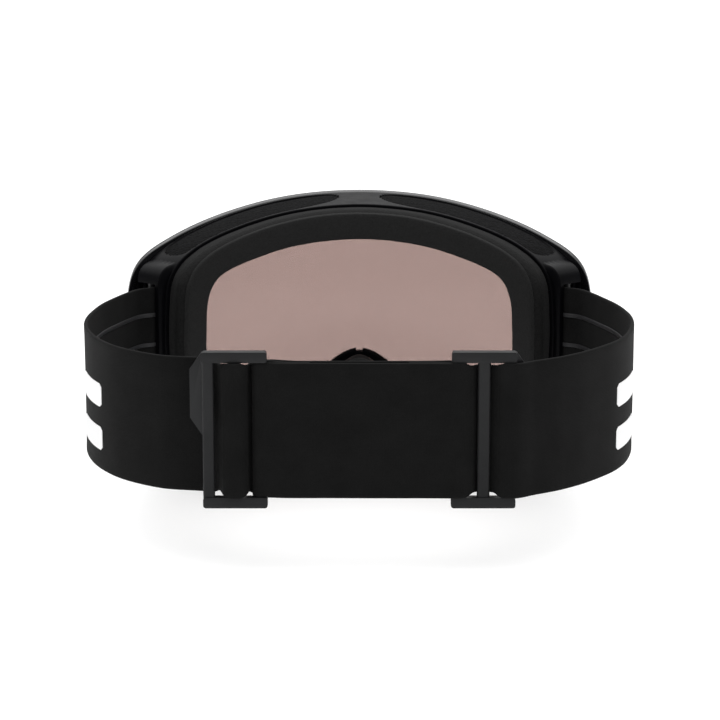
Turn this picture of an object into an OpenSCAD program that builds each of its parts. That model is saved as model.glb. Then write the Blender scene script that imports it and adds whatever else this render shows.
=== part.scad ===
// Ski goggles: a magnetic double lens on a soft frame, layered face foam,
// and a stretch strap with two three-bar sliders at the back.
// +X is the wearer's right, +Y is the way the wearer looks, +Z is up.

/* [Lens and frame] */
// Radius of the cylinder that the lens is curved on
lens_r = 110; // [108:1:114]
// Thickness of the outer lens
outer_lens_t = 1.6; // [1.2:0.1:1.8]
// Thickness of the inner lens
inner_lens_t = 1.2; // [0.8:0.1:1.4]
// Thickness of the lens carrier behind the outer lens
carrier_t = 2.4; // [2:0.1:2.6]
// Wall thickness of the soft frame
frame_wall = 2.2; // [1.8:0.1:2.6]
// Gap between the lens carrier and the frame
carrier_gap = 0.3; // [0.2:0.1:0.6]
// Radius of each magnet
magnet_r = 2; // [1.5:0.1:2.2]
// Thickness of each magnet
magnet_t = 1.2; // [1:0.1:1.4]

/* [Face foam] */
// Radius of the face curve, seen from above
face_r = 107; // [104:1:112]
// Depth of the whole foam stack
foam_depth = 13; // [11:0.5:14]
// Depth of the firm base layer
base_depth = 4.6; // [4:0.2:5]
// Depth of the fleece skin
fleece_depth = 1.8; // [1:0.2:2]

/* [Strap] */
// Width of the webbing
strap_w = 45; // [43:1:45]
// Thickness of the webbing
strap_t = 1.4; // [1:0.1:1.4]
// Height of the webbing's lower edge over the ground
strap_z = 28; // [28:0.5:29]
// Width of each silicone grip line
grip_w = 1.8; // [1:0.2:3]
// Distance between neighbouring grip lines
grip_pitch = 11.5; // [9:0.5:13]

/* [Sliders] */
// Distance of each slider's centre bar from the middle
clip_x = 40.3; // [40.2:0.1:40.3]
// Width of each slider
clip_w = 21; // [20.9:0.1:21]
// Height of each slider's top and bottom plate
plate_h = 3.5; // [2.5:0.1:4]
// Width of the centre bar
centre_bar_w = 4.2; // [3.8:0.1:4.2]
// Thickness of the outer and centre bars, front to back
bar_t = 1.8; // [1.4:0.1:1.8]
// How far the finger tab stands out to the side
tab_w = 4.1; // [2:0.1:4.2]

/* [Hidden] */

$fn = 48;
// Samples in each span of an outline and of a strap's route
ring_steps = 4;
route_steps = 3;
// The lens cylinder's axis, seen from above
lens_y = -22;
// Where the face curve and the frame's rear edge cross the middle
rear_y = 64;

// Right halves of the front outlines, from the top middle round to the nose
LENS = [
  [0, 101], [26, 99.5], [49, 95], [69, 88.2], [82.1, 80], [86, 66], [85.2, 46],
  [79.8, 27], [66.5, 9.3], [45, 0], [27, 6.5], [14.5, 22], [0, 30]
];
FRONT = [
  [0, 100.7], [25.8, 99], [48.4, 94.4], [67.8, 87.2], [79, 78.8], [81.6, 65],
  [80.8, 46], [76, 28.5], [63.8, 12.5], [44.5, 4.4], [29, 9.2], [16.6, 23.5], [0, 31.5]
];
REAR = [
  [0, 99.3], [24, 97.5], [45, 92.6], [61, 85.8], [69.2, 76.8], [71.2, 62],
  [70.9, 44], [67.8, 27.5], [57.5, 13.5], [40, 7.6], [26, 13], [14.6, 25.5], [0, 33]
];
APERTURE = [
  [0, 94.4], [23, 92.6], [43, 87.9], [58, 81.4], [65.4, 73.4], [67.4, 60],
  [66.8, 44], [63.2, 29.5], [53.5, 17.8], [38.5, 14], [25.5, 19], [11.8, 33.2], [0, 39]
];
FACE = [
  [0, 98.1], [22, 96.2], [41, 91.3], [55.5, 84.2], [61.6, 75], [62.8, 60],
  [62.6, 44], [60, 29], [51.8, 17], [38.5, 11.6], [25, 16.4], [14, 28], [0, 35]
];
EYE = [
  [0, 88.4], [21.8, 86.5], [38, 82.4], [50.4, 77.2], [55, 69.5], [56, 57],
  [55.8, 43], [53, 31], [45, 22.8], [34, 20.6], [23.5, 24.5], [13, 34], [0, 42]
];

// Cubic curve through b and c, with a and d as the neighbours
function bend(a, b, c, d, t) =
  0.5 * (2 * b + (c - a) * t + (2 * a - 5 * b + 4 * c - d) * t * t
  + (3 * b - a - 3 * c + d) * t * t * t);

// A right half outline and its mirror image, as one closed list
function whole(half) = concat(
  half,
  [for (i = [len(half) - 2:-1:1]) [-half[i][0], half[i][1]]]
);

// Point at place u on a closed list, where u counts its points
function at(list, u) =
  let (n = len(list), i = floor(u), t = u - i)
  bend(list[(i - 1 + n) % n], list[i % n], list[(i + 1) % n], list[(i + 2) % n], t);

// A smooth closed outline sampled from a right half
function outline(half) =
  let (list = whole(half), n = len(list))
  [for (k = [0:n * ring_steps - 1]) at(list, k / ring_steps)];

function unit(v) = v / norm(v);

// Moves a closed clockwise outline inwards by d
function inset(loop, d) =
  let (n = len(loop))
  [for (i = [0:n - 1])
    let (v = unit(loop[(i + 1) % n] - loop[(i - 1 + n) % n]))
    loop[i] + d * [v[1], -v[0]]
  ];

function mix(a, b, t) = [for (i = [0:len(a) - 1]) a[i] * (1 - t) + b[i] * t];

// Depth of the lens curves and of the face curves at a given x
function lens_depth(x, r) = lens_y + sqrt(r * r - x * x);
function face_depth(x, back) = rear_y - back - face_r + sqrt(face_r * face_r - x * x);

// Lays a flat outline on a lens cylinder or on a face curve
function on_lens(loop, r) = [for (p = loop) [p[0], lens_depth(p[0], r), p[1]]];
function on_face(loop, back) = [for (p = loop) [p[0], face_depth(p[0], back), p[1]]];

lens_loop = outline(LENS);
front_loop = outline(FRONT);
rear_loop = outline(REAR);
aperture_loop = outline(APERTURE);
face_loop = outline(FACE);
eye_loop = outline(EYE);

carrier_r = lens_r - outer_lens_t;
flange_r = carrier_r - carrier_t - carrier_gap;
flange_back_r = flange_r - 2.6;
inner_lens_r = carrier_r - carrier_t + inner_lens_t;
// How far the inner lens laps over the frame's opening, and its gap to the carrier
inner_lap = 1.6;
inner_gap = 0.4;
gasket_w = 1.2;

// Side posts that the webbing's sewn ends turn round
post = [76.2, 41.2];
post_r = 1.6;
post_turn = 40;
slot_in = 3.7;
slot_out = 4.8;
slot_h = strap_w + 1.6;
rigger_w = 12.4;
rigger_t = 5;
rigger_low = 3.7;
rigger_high = 6.7;
strap_mid = strap_z + strap_w / 2;
loop_r = post_r + 0.15 + strap_t / 2;

// Slider bars: rear faces, and the thin inner bar that holds a sewn end
bar_y = -85;
inner_bar_y = -83.6;
inner_bar_t = 1;
bar_w = 3.9;
plate_rear = -85.6;
plate_front = -82.4;
inner_bar_x = clip_x - clip_w / 2 + 1.4;
turn_r = inner_bar_t / 2 + 0.2 + strap_t / 2;
turn_y = inner_bar_y + inner_bar_t / 2;
turn_x = inner_bar_x + 1.4;

// A closed band of surface through several loops, as one solid ring
module ring(loops) {
  n = len(loops[0]);
  m = len(loops);
  points = [for (loop = loops) each loop];
  faces = [
    for (j = [0:m - 1], i = [0:n - 1])
    let (a = j * n, b = ((j + 1) % m) * n, k = (i + 1) % n)
    each [[a + i, b + k, b + i], [a + i, a + k, b + k]]
  ];
  polyhedron(points, faces);
}

// Stands a flat outline up and cuts it to the layer between two lens radii
module lens_layer(r_out, r_in) {
  intersection() {
    translate([0, 120, 0]) rotate([90, 0, 0]) linear_extrude(120) children();
    translate([0, lens_y, -5]) difference() {
      cylinder(r = r_out, h = 115, $fn = 180);
      translate([0, 0, -1]) cylinder(r = r_in, h = 117, $fn = 180);
    }
  }
}

module flat_ring(outer, inner) {
  difference() {
    polygon(outer);
    polygon(inner);
  }
}

// ---- frame ----

// Point on the frame's outer wall: u along the outline, v from rear to front
function wall_point(u, v, in) =
  let (
    rear = whole(REAR), front = whole(FRONT),
    a = at(rear, u), b = at(front, u),
    c = at(rear, u + 0.02), d = at(front, u + 0.02),
    p = a * (1 - v) + b * v, q = c * (1 - v) + d * v, t = unit(q - p),
    flat = p + in * [t[1], -t[0]]
  )
  [flat[0], face_depth(a[0], 0) * (1 - v) + lens_depth(b[0], flange_r) * v, flat[1]];

// Ends of the long top vents and the short bottom vents, counted along the outline,
// each vent's half width as a share of the wall, and how far its inner end leans forward
top_vent = [0.32, 3.45, 0.36, 0.24];
bottom_vent = [7.6, 9.2, 0.25, 0];
vent_mid = 0.535;

// A long pad in the wall, blunt at its outer end, between two depths
module wall_pad(vent, grow, in0, in1) {
  u0 = vent[0] - grow;
  u1 = vent[1] + grow;
  n = 26;
  m = 4;
  rows = [
    for (k = [0:n])
    let (
      s = (1 - cos(180 * k / n)) / 2, u = u0 * (1 - s) + u1 * s,
      lean = vent[3] * pow(max(1 - 4 * s, 0), 2),
      w = (vent[2] - 1.2 * lean) * sqrt(max(1 - pow(abs(2 * s - 1), 14), 0)) + 0.02 + grow / 2,
      lo = vent_mid + lean - w, hi = vent_mid + lean + w
    )
    [wall_point(u, lo, in0), wall_point(u, hi, in0), wall_point(u, hi, in1), wall_point(u, lo, in1)]
  ];
  points = [for (row = rows) each row];
  sides = [
    for (k = [0:n - 1], j = [0:m - 1])
    let (a = k * m, b = a + m, q = (j + 1) % m)
    each [[a + j, b + q, b + j], [a + j, a + q, b + q]]
  ];
  last = n * m;
  ends = [[0, 2, 1], [0, 3, 2], [last, last + 1, last + 2], [last, last + 2, last + 3]];
  polyhedron(points, concat(sides, ends));
}

module slot_cut() {
  translate([post[0], post[1], strap_mid - slot_h / 2])
    rotate([0, 0, post_turn])
      translate([-slot_in, -9, 0]) cube([slot_in + slot_out, 18, slot_h]);
}

module post_rod(r) {
  translate([post[0], post[1], strap_mid - slot_h / 2 - 2]) cylinder(r = r, h = slot_h + 4);
}

// Raised housing round the post's slot
module outrigger() {
  r = 1.5;
  translate([post[0], post[1], strap_mid - slot_h / 2 - rigger_low]) rotate([0, 0, post_turn])
    linear_extrude(slot_h + rigger_low + rigger_high) {
      square([rigger_w, rigger_t - 2 * r], center = true);
      square([rigger_w - 2 * r, rigger_t], center = true);
      for (x = [-1, 1], y = [-1, 1])
        translate([x * (rigger_w / 2 - r), y * (rigger_t / 2 - r)]) circle(r);
    }
}

module frame_ring() {
  bulge = inset(mix(rear_loop, front_loop, 0.55), -0.9);
  inner_front = inset(front_loop, frame_wall + 0.3);
  inner_rear = inset(rear_loop, frame_wall);
  foam_seat = inset(rear_loop, 6.4);
  y_mid = [for (i = [0:len(bulge) - 1])
    let (a = face_depth(rear_loop[i][0], 0), b = lens_depth(front_loop[i][0], flange_r))
    [bulge[i][0], a * 0.45 + b * 0.55, bulge[i][1]]];
  ring([
    on_face(rear_loop, 0),
    on_face(foam_seat, 0),
    on_face(foam_seat, -2),
    on_face(inner_rear, -2),
    on_lens(inner_front, flange_back_r),
    on_lens(aperture_loop, flange_back_r),
    on_lens(aperture_loop, flange_r),
    on_lens(front_loop, flange_r),
    y_mid
  ]);
}

module frame_shell() {
  color([0.10, 0.10, 0.11]) difference() {
    union() {
      frame_ring();
      outrigger();
      mirror([1, 0, 0]) outrigger();
    }
    for (side = [0, 1]) mirror([side, 0, 0]) {
      wall_pad(top_vent, 0.02, -4, 4);
      wall_pad(bottom_vent, 0.02, -4, 4);
      slot_cut();
      post_rod(post_r);
    }
    magnets(flange_r - magnet_t, flange_r + 1);
  }
}

module vent_foam(vent) { color([0.06, 0.06, 0.06]) wall_pad(vent, -0.01, 0.4, 2); }
module top_vent_foam_right() { vent_foam(top_vent); }
module top_vent_foam_left() { mirror([1, 0, 0]) vent_foam(top_vent); }
module bottom_vent_foam_right() { vent_foam(bottom_vent); }
module bottom_vent_foam_left() { mirror([1, 0, 0]) vent_foam(bottom_vent); }

module strap_post_right() { color([0.25, 0.25, 0.27]) post_rod(post_r); }
module strap_post_left() { mirror([1, 0, 0]) strap_post_right(); }

// Discs on the lens curve, where the carrier meets the frame
magnet_places = [[38, 93.8], [74.6, 70], [72, 38], [42.5, 8.8]];
module magnets(r_in, r_out) {
  for (side = [0, 1], p = magnet_places)
    mirror([side, 0, 0])
      translate([0, lens_y, p[1]])
        rotate([0, 0, -asin(p[0] / lens_r)])
          rotate([-90, 0, 0])
            translate([0, 0, r_in]) cylinder(r = magnet_r, h = r_out - r_in);
}
module frame_magnets() { color([0.7, 0.7, 0.72]) magnets(flange_r - magnet_t, flange_r - 0.05); }

// ---- face foam ----

// Glue line between two layers
layer_gap = 0.12;

// Foam ring between two depths behind the frame, tapering from rear edge to face
module foam_ring(back0, back1, edge0, edge1) {
  t0 = back0 / foam_depth;
  t1 = back1 / foam_depth;
  ring([
    on_face(inset(mix(rear_loop, face_loop, t1), edge1), back1),
    on_face(inset(eye_loop, -1.4 * (1 - t1)), back1),
    on_face(inset(eye_loop, -1.4 * (1 - t0)), back0),
    on_face(inset(mix(rear_loop, face_loop, t0), edge0), back0)
  ]);
}
module face_foam_base() { color([0.09, 0.09, 0.09]) foam_ring(layer_gap, base_depth, 1, 0.8); }
module face_foam_mid() {
  color([0.12, 0.12, 0.12])
    foam_ring(base_depth + layer_gap, foam_depth - fleece_depth - layer_gap, 0.3, 0.3);
}
module face_fleece() {
  color([0.13, 0.13, 0.13]) foam_ring(foam_depth - fleece_depth, foam_depth, 0, 0.4);
}

// ---- lens ----

module outer_lens() {
  color([0.66, 0.55, 0.52, 0.8]) lens_layer(lens_r, carrier_r) polygon(lens_loop);
}
module lens_carrier() {
  color([0.05, 0.05, 0.05]) difference() {
    lens_layer(carrier_r, carrier_r - carrier_t)
      flat_ring(inset(lens_loop, 0.5), inset(aperture_loop, -inner_lap - inner_gap));
    magnets(carrier_r - carrier_t - 1, carrier_r - carrier_t + magnet_t);
  }
}
module lens_gasket() {
  color([0.1, 0.1, 0.1]) lens_layer(carrier_r, inner_lens_r)
    flat_ring(inset(aperture_loop, -inner_lap), inset(aperture_loop, gasket_w - inner_lap));
}
module inner_lens() {
  color([0.66, 0.55, 0.52, 0.6]) lens_layer(inner_lens_r, inner_lens_r - inner_lens_t)
    polygon(inset(aperture_loop, -inner_lap));
}
module lens_magnets() {
  color([0.7, 0.7, 0.72]) magnets(carrier_r - carrier_t + 0.05, carrier_r - carrier_t + magnet_t);
}

// ---- strap ----

// Points of an arc from angle a0 to angle a1
function arc(c, r, a0, a1, n) =
  [for (i = [0:n]) c + r * [cos(a0 + (a1 - a0) * i / n), sin(a0 + (a1 - a0) * i / n)]];

// A smooth open curve through a list of points
function smooth(list, steps) =
  let (n = len(list))
  concat(
    [for (i = [0:n - 2], k = [0:steps - 1])
      bend(list[max(i - 1, 0)], list[i], list[i + 1], list[min(i + 2, n - 1)], k / steps)],
    [list[n - 1]]
  );

// Moves an open route sideways, to its left for positive d
function aside(route, d) =
  let (n = len(route))
  [for (i = [0:n - 1])
    let (v = unit(route[min(i + 1, n - 1)] - route[max(i - 1, 0)]))
    route[i] + d * [-v[1], v[0]]
  ];

function reversed(list) = [for (i = [len(list) - 1:-1:0]) list[i]];

// Flat strip of thickness t along a route, moved aside by d
function strip(route, t, d) =
  concat(aside(route, d + t / 2), reversed(aside(route, d - t / 2)));

// Sewn end round the side post, seen from above: outer tail, turn, and the side's run
tail = [[88.3, 22], [85.7, 28.3], [83.2, 33.4], [80.6, 38.4]];
turn = arc(post, loop_r, 27, 205, 8);
side_run = [
  [74.8, 38.4], [76.7, 36.8], [79.4, 35.3], [81.8, 32.6], [84.4, 27.2], [86.7, 21.4],
  [91.3, 8], [93.7, -6], [94.3, -18], [93.2, -30], [90.2, -42], [85.8, -52], [80, -60.8]
];
// Right side: over the outer bar, behind the centre bar, over the inner bar
over_run = [
  [73, -69.4], [66.2, -75.6], [61.4, -78.9], [56.6, -81.9], [53.6, -84.2], [51, -85.7],
  [48.6, -86], [46.2, -85.7], [44.9, -84.2], [43.1, -82.7], [40.3, -82.2], [38, -82.3],
  [36.6, -83.8], [35.3, -85.2], [33.4, -86], [31, -86.1], [27, -85.9], [20, -85.7], [10, -85.6],
  [0, -85.6], [-10, -85.6], [-20, -85.6], [-26, -85.2], [2 - turn_x, turn_y - turn_r]
];
// Left side, mirrored: behind the outer bar, over the centre bar, behind the inner bar
under_run = [
  [73, -67.8], [65.6, -73.2], [60.5, -75.2], [55.5, -76.2], [51.5, -77], [48.4, -78],
  [46.2, -79.8], [44.9, -82.6], [43.9, -85.1], [42.2, -86.1], [40.3, -86.2], [38.4, -86],
  [37, -84.7], [36.2, -82.6], [34.8, -80.9], [32.8, -80.1], [31, -80.1], [27, -80.6], [23.5, -81.6], [20, -82.3], [10, -82.4],
  [0, -82.4], [-10, -82.4], [-20, -82.4], [-26, -82.1], [2 - turn_x, turn_y + turn_r]
];
over_turn = reversed(arc([-turn_x, turn_y], turn_r, 90, 270, 8));
under_turn = arc([-turn_x, turn_y], turn_r, 90, 270, 8);
over_tail = [[2 - turn_x, turn_y + turn_r], [-28, -82.2], [-25.5, -83.4], [-22, -84], [-16, -84]];
under_tail = [[2 - turn_x, turn_y - turn_r], [-28, -84.4], [-25, -84.1], [-22, -84], [-16, -84]];

over_route = concat(
  smooth(concat(tail, turn, side_run, over_run), route_steps),
  over_turn, smooth(over_tail, route_steps)
);
under_route = concat(
  smooth(concat(tail, turn, side_run, under_run), route_steps),
  under_turn, smooth(under_tail, route_steps)
);

module webbing(route) {
  color([0.10, 0.10, 0.10]) translate([0, 0, strap_z])
    linear_extrude(strap_w) polygon(strip(route, strap_t, 0));
}
module strap_right() { webbing(over_route); }
module strap_left() { mirror([1, 0, 0]) webbing(under_route); }

// The side run as both straps share it
side_start = (len(tail) + len(turn)) * route_steps;
side_route = [for (i = [0:(len(side_run) - 1) * route_steps]) over_route[side_start + i]];
// Silicone lines on the head side of the webbing, from just behind the post
grip_front = 33;
grip_route = [for (p = side_route) if (p[1] < grip_front) p];
module grip_lines_right() {
  color([0.2, 0.2, 0.2])
    for (k = [-1:1])
      translate([0, 0, strap_mid + k * grip_pitch - grip_w / 2])
        linear_extrude(grip_w) polygon(strip(grip_route, 0.5, -strap_t / 2 - 0.3));
}
module grip_lines_left() { mirror([1, 0, 0]) grip_lines_right(); }

// Two plain printed bars on the outside of the webbing
print_front = -29;
print_back = -53;
print_route = [for (p = side_route) if (p[1] < print_front && p[1] > print_back) p];
print_h = 8;
print_gap = 7;
print_mid = strap_mid - 4;
module strap_print_right() {
  color("white")
    for (z = [print_mid - print_gap / 2 - print_h, print_mid + print_gap / 2])
      translate([0, 0, z])
        linear_extrude(print_h) polygon(strip(print_route, 0.2, strap_t / 2 + 0.12));
}
module strap_print_left() { mirror([1, 0, 0]) strap_print_right(); }

// Rows of thread that close the sewn ends
tail_route = smooth(tail, route_steps);
module thread_row(route, d) {
  for (k = [0:9])
    translate([0, 0, strap_z + 3 + k * 4]) linear_extrude(3) polygon(strip(route, 0.3, d));
}
module stitches_right() {
  color([0.25, 0.25, 0.25]) for (i = [1, 4])
    thread_row([tail_route[i], tail_route[i + 1] * 0.4 + tail_route[i] * 0.6], -strap_t / 2 - 0.2);
}
module stitches_left() { mirror([1, 0, 0]) stitches_right(); }
band_seam_x = 18;
module band_stitches() {
  color([0.25, 0.25, 0.25]) for (side = [-1, 1])
    thread_row([[side * band_seam_x - 0.4, -82.35], [side * band_seam_x + 0.4, -82.35]],
      strap_t / 2 + 0.2);
}

// ---- sliders ----

// Upright bar with round edges, its rear face at y
module bar(x0, x1, y, t) {
  h = strap_w + 2;
  translate([0, 0, strap_mid - h / 2]) {
    translate([x0 + t / 2, y, 0]) cube([x1 - x0 - t, t, h]);
    for (x = [x0 + t / 2, x1 - t / 2]) translate([x, y + t / 2, 0]) cylinder(r = t / 2, h = h);
  }
}

// Finger tab with slanted ends, bent forward to follow the strap
module tab(x0) {
  intersection() {
    translate([0, 0, strap_z - 5]) linear_extrude(strap_w + 10)
      polygon([
        [x0, bar_y + 0.2], [x0 + tab_w + 1.7, bar_y + 3.3],
        [x0 + tab_w + 1.7, bar_y + 4.5], [x0, bar_y + bar_t]
      ]);
    translate([0, plate_rear - 1, 0]) rotate([90, 0, 0]) translate([0, 0, -10])
      linear_extrude(10)
        polygon([
          [x0, strap_z + strap_w + plate_h], [x0 + 1.7, strap_z + strap_w + plate_h],
          [x0 + 1.7 + tab_w, strap_z + strap_w - 3], [x0 + 1.7 + tab_w, strap_z + 26],
          [x0 + 1.7, strap_z + 20.6], [x0, strap_z + 20.6]
        ]);
  }
}

module plate(z) {
  r = 1;
  x0 = clip_x - clip_w / 2;
  translate([x0, plate_rear, z]) rotate([-90, 0, 0]) mirror([0, 1, 0])
    linear_extrude(plate_front - plate_rear) {
      translate([r, 0]) square([clip_w - 2 * r, plate_h]);
      translate([0, r]) square([clip_w, plate_h - 2 * r]);
      for (x = [r, clip_w - r], y = [r, plate_h - r]) translate([x, y]) circle(r);
    }
}

module clip_right() {
  outer = clip_x + clip_w / 2;
  color([0.17, 0.17, 0.18]) union() {
    plate(strap_z - plate_h);
    plate(strap_z + strap_w);
    bar(outer - bar_w, outer, bar_y, bar_t);
    bar(clip_x - centre_bar_w / 2, clip_x + centre_bar_w / 2, bar_y, bar_t);
    bar(inner_bar_x - 1.4, inner_bar_x + 1.4, inner_bar_y, inner_bar_t);
    tab(outer - 1.7);
  }
}
module clip_left() { mirror([1, 0, 0]) clip_right(); }

frame_shell();
top_vent_foam_left();
top_vent_foam_right();
bottom_vent_foam_left();
bottom_vent_foam_right();
face_foam_base();
face_foam_mid();
face_fleece();
strap_post_left();
strap_post_right();
frame_magnets();
outer_lens();
lens_carrier();
lens_gasket();
inner_lens();
lens_magnets();
strap_left();
strap_right();
grip_lines_left();
grip_lines_right();
strap_print_left();
strap_print_right();
stitches_left();
stitches_right();
band_stitches();
clip_left();
clip_right();
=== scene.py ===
"""Ski goggles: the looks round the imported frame. Sizes are in millimetres and meshes in metres."""
import math

import bmesh
import bpy
import numpy as np
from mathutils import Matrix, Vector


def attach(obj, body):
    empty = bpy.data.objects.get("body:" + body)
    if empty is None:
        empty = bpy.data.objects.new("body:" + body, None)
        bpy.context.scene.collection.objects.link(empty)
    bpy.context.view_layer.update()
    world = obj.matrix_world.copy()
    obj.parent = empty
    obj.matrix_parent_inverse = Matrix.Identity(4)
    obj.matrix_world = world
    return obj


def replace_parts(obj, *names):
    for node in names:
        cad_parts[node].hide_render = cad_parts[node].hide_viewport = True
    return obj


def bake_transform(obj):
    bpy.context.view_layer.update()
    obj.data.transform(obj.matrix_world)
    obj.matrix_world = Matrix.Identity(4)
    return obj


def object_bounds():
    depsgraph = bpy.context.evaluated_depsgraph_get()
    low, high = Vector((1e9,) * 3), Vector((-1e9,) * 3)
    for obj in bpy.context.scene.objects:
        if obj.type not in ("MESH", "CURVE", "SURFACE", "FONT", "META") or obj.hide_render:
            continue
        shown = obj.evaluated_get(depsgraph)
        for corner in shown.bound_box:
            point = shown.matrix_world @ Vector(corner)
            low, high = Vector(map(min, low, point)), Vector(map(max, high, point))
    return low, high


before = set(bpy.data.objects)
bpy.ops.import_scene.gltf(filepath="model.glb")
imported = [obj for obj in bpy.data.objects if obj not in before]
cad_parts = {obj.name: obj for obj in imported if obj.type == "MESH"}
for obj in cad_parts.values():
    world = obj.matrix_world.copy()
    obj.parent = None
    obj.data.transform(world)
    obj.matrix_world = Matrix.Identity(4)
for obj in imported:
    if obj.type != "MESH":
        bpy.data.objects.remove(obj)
cad_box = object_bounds()

MM = 0.001

# ---------------------------------------------------------------- sizes
LENS_R, LENS_Y = 110.0, -22.0
OUTER_T, INNER_T, CARRIER_T, CARRIER_GAP = 1.6, 1.2, 2.4, 0.3
CARRIER_R = LENS_R - OUTER_T
FLANGE_R = CARRIER_R - CARRIER_T - CARRIER_GAP
FLANGE_BACK_R = FLANGE_R - 2.6
INNER_LENS_R = CARRIER_R - CARRIER_T + INNER_T
INNER_LAP, INNER_GAP, GASKET_W = 1.6, 0.4, 1.2
FACE_R, REAR_Y = 107.0, 64.0
FOAM_DEPTH, BASE_DEPTH, FLEECE_DEPTH = 13.0, 4.6, 1.8
STRAP_W, STRAP_T, STRAP_Z = 45.0, 1.4, 28.0
STRAP_MID = STRAP_Z + STRAP_W / 2
CLIP_X, CLIP_W, PLATE_H, BAR_T, TAB_W, BAR_W, CENTRE_W = 40.3, 21.0, 3.5, 1.8, 4.1, 3.9, 4.2
BAR_Y, INNER_BAR_Y, INNER_BAR_T = -85.0, -83.6, 1.0
PLATE_REAR, PLATE_FRONT = -85.6, -82.4
INNER_BAR_X = CLIP_X - CLIP_W / 2 + 1.4
POST, POST_TURN = np.array([76.2, 41.2]), 40.0
LOOP_R = 1.6 + 0.15 + STRAP_T / 2

# Right halves of the front outlines, from the top middle round to the nose
LENS = [
    (0, 101), (26, 99.5), (49, 95), (69, 88.2), (82.1, 80), (86, 66), (85.2, 46),
    (79.8, 27), (66.5, 9.3), (45, 0), (27, 6.5), (14.5, 22), (0, 30)]
FRONT = [
    (0, 100.7), (25.8, 99), (48.4, 94.4), (67.8, 87.2), (79, 78.8), (81.6, 65),
    (80.8, 46), (76, 28.5), (63.8, 12.5), (44.5, 4.4), (29, 9.2), (16.6, 23.5), (0, 31.5)]
REAR = [
    (0, 99.3), (24, 97.5), (45, 92.6), (61, 85.8), (69.2, 76.8), (71.2, 62),
    (70.9, 44), (67.8, 27.5), (57.5, 13.5), (40, 7.6), (26, 13), (14.6, 25.5), (0, 33)]
APERTURE = [
    (0, 94.4), (23, 92.6), (43, 87.9), (58, 81.4), (65.4, 73.4), (67.4, 60),
    (66.8, 44), (63.2, 29.5), (53.5, 17.8), (38.5, 14), (25.5, 19), (11.8, 33.2), (0, 39)]
FACE = [
    (0, 98.1), (22, 96.2), (41, 91.3), (55.5, 84.2), (61.6, 75), (62.8, 60),
    (62.6, 44), (60, 29), (51.8, 17), (38.5, 11.6), (25, 16.4), (14, 28), (0, 35)]
EYE = [
    (0, 88.4), (21.8, 86.5), (38, 82.4), (50.4, 77.2), (55, 69.5), (56, 57),
    (55.8, 43), (53, 31), (45, 22.8), (34, 20.6), (23.5, 24.5), (12.7, 35.3), (0, 43.2)]
STATIONS = 720
# Each vent: its ends along the outline, its half width, and how far its inner end leans forward
TOP_VENT = (0.32, 3.45, 0.455, 0.13)
BOTTOM_VENT = (7.6, 9.2, 0.25, 0)
VENT_MID = 0.505


# ---------------------------------------------------------------- curves
def bend(a, b, c, d, t):
    return 0.5 * (2 * b + (c - a) * t + (2 * a - 5 * b + 4 * c - d) * t * t
                  + (3 * b - a - 3 * c + d) * t ** 3)


def whole(half):
    half = np.array(half, float)
    return np.concatenate([half, half[-2:0:-1] * [-1, 1]])


def at(points, u):
    n = len(points)
    i = np.floor(u).astype(int)
    t = (u - i)[:, None]
    return bend(points[(i - 1) % n], points[i % n], points[(i + 1) % n], points[(i + 2) % n], t)


def outline(half, places=None):
    points = whole(half)
    if places is None:
        places = np.arange(STATIONS) * len(points) / STATIONS
    return at(points, places)


def unit(v):
    return v / np.maximum(np.linalg.norm(v, axis=-1, keepdims=True), 1e-9)


def inset(loop, d):
    v = unit(np.roll(loop, -1, 0) - np.roll(loop, 1, 0))
    return loop + d * np.stack([v[:, 1], -v[:, 0]], 1)


def lens_depth(x, r):
    return LENS_Y + np.sqrt(r * r - x * x)


def face_depth(x, back):
    return REAR_Y - back - FACE_R + np.sqrt(FACE_R ** 2 - x * x)


def on_lens(loop, r):
    return np.stack([loop[:, 0], lens_depth(loop[:, 0], r), loop[:, 1]], 1)


def on_face(loop, back):
    return np.stack([loop[:, 0], face_depth(loop[:, 0], back), loop[:, 1]], 1)


def smooth(points, steps):
    p = np.array(points, float)
    n = len(p)
    out = []
    for i in range(n - 1):
        for k in range(steps):
            out.append(bend(p[max(i - 1, 0)], p[i], p[i + 1], p[min(i + 2, n - 1)], k / steps))
    return np.array(out + [p[-1]])


def arc(c, r, a0, a1, n):
    a = np.radians(np.linspace(a0, a1, n + 1))
    return np.array(c) + r * np.stack([np.cos(a), np.sin(a)], 1)


def wobble(p, scale, seed):
    """A smooth pseudo-random value for each point, from -1 to 1, with features of about scale mm."""
    g = np.random.default_rng(seed)
    total = np.zeros(len(p))
    for _ in range(6):
        k = g.normal(size=3) / scale * 1.6
        total += np.sin(p @ k + g.uniform(0, 6.28))
    return total / 3.5


# ---------------------------------------------------------------- meshes
SHARP = math.radians(50)


def new_object(name, verts, faces, body, slot, material, flat_uv=None):
    """A smooth piece from vertices in millimetres, riding on a body unless that is None."""
    mesh = bpy.data.meshes.new(name)
    mesh.from_pydata((np.asarray(verts) * MM).tolist(), [], [list(map(int, f)) for f in faces])
    bm = bmesh.new()
    bm.from_mesh(mesh)
    bmesh.ops.recalc_face_normals(bm, faces=bm.faces)
    bm.to_mesh(mesh)
    bm.free()
    mesh.shade_smooth()
    mesh.set_sharp_from_angle(angle=SHARP)
    obj = bpy.data.objects.new(name, mesh)
    bpy.context.scene.collection.objects.link(obj)
    obj.data.materials.append(material)
    if flat_uv is not None:
        layer = mesh.uv_layers.new(name="flat")
        index = np.empty(len(mesh.loops), int)
        mesh.loops.foreach_get("vertex_index", index)
        layer.data.foreach_set("uv", np.asarray(flat_uv)[index].astype(np.float32).ravel())
    if body:
        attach(obj, body)
    return obj


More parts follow.
